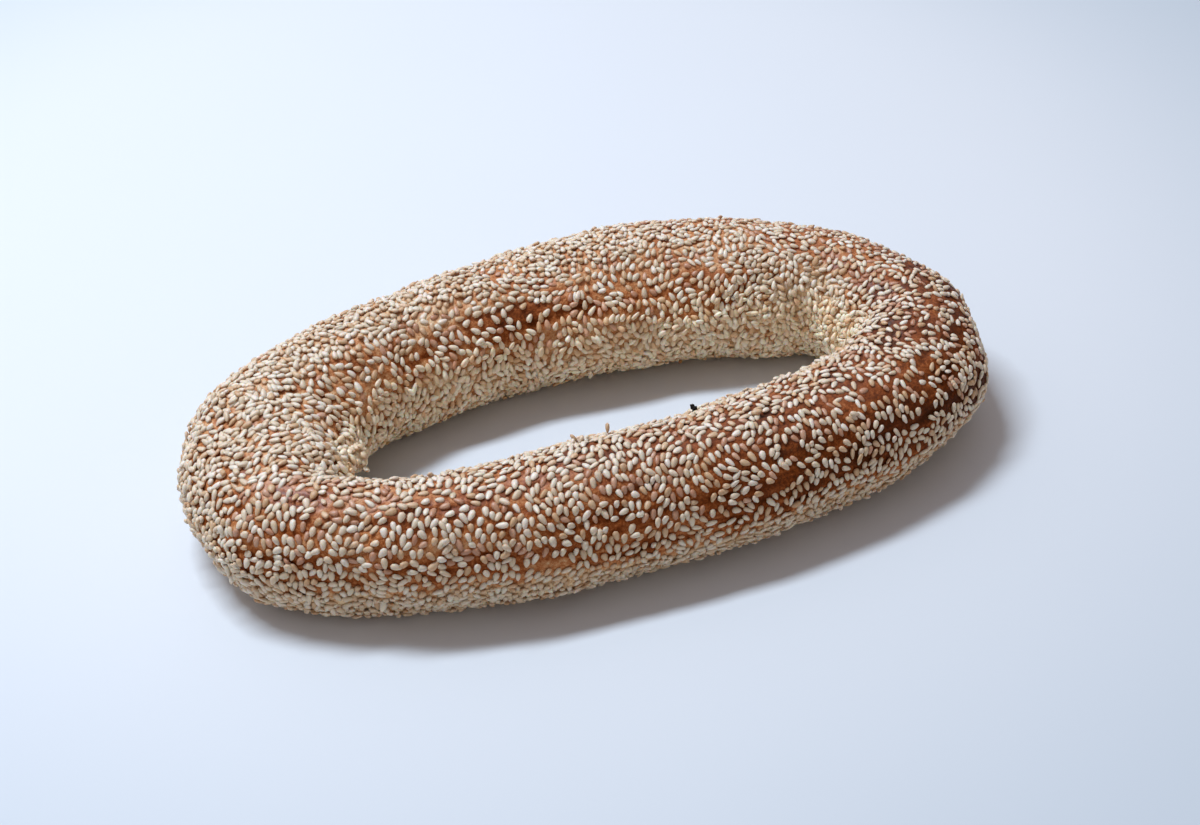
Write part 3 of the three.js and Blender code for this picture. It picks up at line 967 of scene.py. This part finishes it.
# table, light and camera: lengths here are in metres
tableLook = {
    "size": 6.0,
    "colour": (0.655, 0.665, 0.673), "softShare": 0.985, "soft": (90, 2.0, 0.5),
    "roughness": 0.75, "shine": 0.3,
    # painted light falloff: it darkens away from this point, over these distances, to this share
    "fallMiddle": (0.01, 0.125, 0), "fall": (0.18, 0.40), "fallShare": (0.775, 0.84, 0.885),
}
lampLook = {
    "azimuth": 222, "elevation": 66, "distance": 1.12,
    "width": 0.5, "depth": 0.14, "colour": (0.715, 0.84, 1.0), "power": 14.6,
}
roomLook = {
    "farSide": (-0.36, 0.80, 0.46), "farReach": 0.9,
    "dim": (0.20, 0.190, 0.205), "bright": (0.72, 0.66, 0.69),      # away from the far side, and towards it
    "nearSide": (0.36, -0.91, 0.20), "nearGlow": (1.54, 1.35, 1.15), "lowness": 6,      # a pale wall
}
view = {
    "azimuth": -22, "elevation": 40, "distance": 0.625, "lens": 60, "sensor": 36, "clip": (0.02, 20),
    "middleHeight": 0.018, "aimRight": 0.0024, "aimUp": -0.0014,
}


def towards(azimuth, elevation):
    # the way from the ring to a place at this azimuth and elevation
    return Vector((math.sin(azimuth * degree) * math.cos(elevation * degree),
                   -math.cos(azimuth * degree) * math.cos(elevation * degree),
                   math.sin(elevation * degree)))


def makeTable():
    mesh = bpy.data.meshes.new("table")
    half = tableLook["size"] / 2
    corners = [(-half, -half, 0), (half, -half, 0), (half, half, 0), (-half, half, 0)]
    mesh.from_pydata(corners, [], [(0, 1, 2, 3)])
    shader = Shader(bpy.data.materials.new("paleTable"))
    soft = shader.noise(*tableLook["soft"])
    softer = [part * tableLook["softShare"] for part in tableLook["colour"]]
    base = shader.mix(soft, opaque(tableLook["colour"]), opaque(softer))
    # painted light falloff: the table is darkened and tinted away from the ring's middle
    sockets = {0: shader.objectPlace(), 1: tableLook["fallMiddle"]}
    away = shader.node("ShaderNodeVectorMath", {"operation": "DISTANCE"}, sockets, "Value")
    paintedFalloff = shader.band(away, *tableLook["fall"])
    base = shader.mix(paintedFalloff, base, opaque(tableLook["fallShare"]), "MULTIPLY")
    material = shader.finish({
        "Base Color": base, "Roughness": tableLook["roughness"], "Specular IOR Level": tableLook["shine"]})
    mesh.materials.append(material)
    table = bpy.data.objects.new("table", mesh)
    bpy.context.collection.objects.link(table)


def makeLight():
    lamp = bpy.data.lights.new("window", "AREA")
    lamp.shape = "RECTANGLE"
    lamp.size = lampLook["width"]
    lamp.size_y = lampLook["depth"]
    lamp.energy = lampLook["power"]
    lamp.color = lampLook["colour"]
    away = towards(lampLook["azimuth"], lampLook["elevation"])
    right = Vector((1, 0, 0))
    right = (right - away * right.dot(away)).normalized()
    turned = Matrix((right, away.cross(right), away)).transposed().to_4x4()
    light = bpy.data.objects.new("window", lamp)
    light.matrix_world = Matrix.Translation(away * lampLook["distance"]) @ turned
    bpy.context.collection.objects.link(light)


def makeWorld():
    shader = Shader(bpy.data.worlds.new("room"))
    direction = shader.node("ShaderNodeTexCoord", {}, {}, "Generated")
    height = shader.node("ShaderNodeSeparateXYZ", {}, {0: direction}, "Z").atLeast(0)

    def facing(side):
        settings = {"operation": "DOT_PRODUCT"}
        return shader.node("ShaderNodeVectorMath", settings, {0: direction, 1: side}, "Value")

    far = facing(roomLook["farSide"]) * (1 / roomLook["farReach"])
    glow = shader.mix(far, opaque(roomLook["dim"]), opaque(roomLook["bright"]))
    low = facing(roomLook["nearSide"]).atLeast(0) * (1 - height) ** roomLook["lowness"]
    glow = shader.mix(low, glow, opaque(roomLook["nearGlow"]), "ADD")
    background = shader.node("ShaderNodeBackground", {}, {"Color": glow}, "Background")
    shader.node("ShaderNodeOutputWorld", {}, {"Surface": background})
    bpy.context.scene.world = shader.holder


def makeCamera():
    camera = bpy.data.cameras.new("camera")
    camera.lens = view["lens"]
    camera.sensor_width = view["sensor"]
    camera.sensor_fit = "HORIZONTAL"
    camera.clip_start, camera.clip_end = view["clip"]
    back = towards(view["azimuth"], view["elevation"])
    right = Vector((math.cos(view["azimuth"] * degree), math.sin(view["azimuth"] * degree), 0))
    up = back.cross(right)
    middle = Vector((*(ringShift * mm), view["middleHeight"]))
    place = middle + back * view["distance"]
    aim = middle + right * view["aimRight"] + up * view["aimUp"]
    eye = bpy.data.objects.new("camera", camera)
    eye.location = place
    eye.rotation_euler = (aim - place).to_track_quat("-Z", "Y").to_euler()
    bpy.context.collection.objects.link(eye)
    bpy.context.scene.camera = eye


makeTable()
makeLight()
makeWorld()
makeCamera()
bpy.context.scene.view_settings.view_transform = "Standard"
print("studio made")
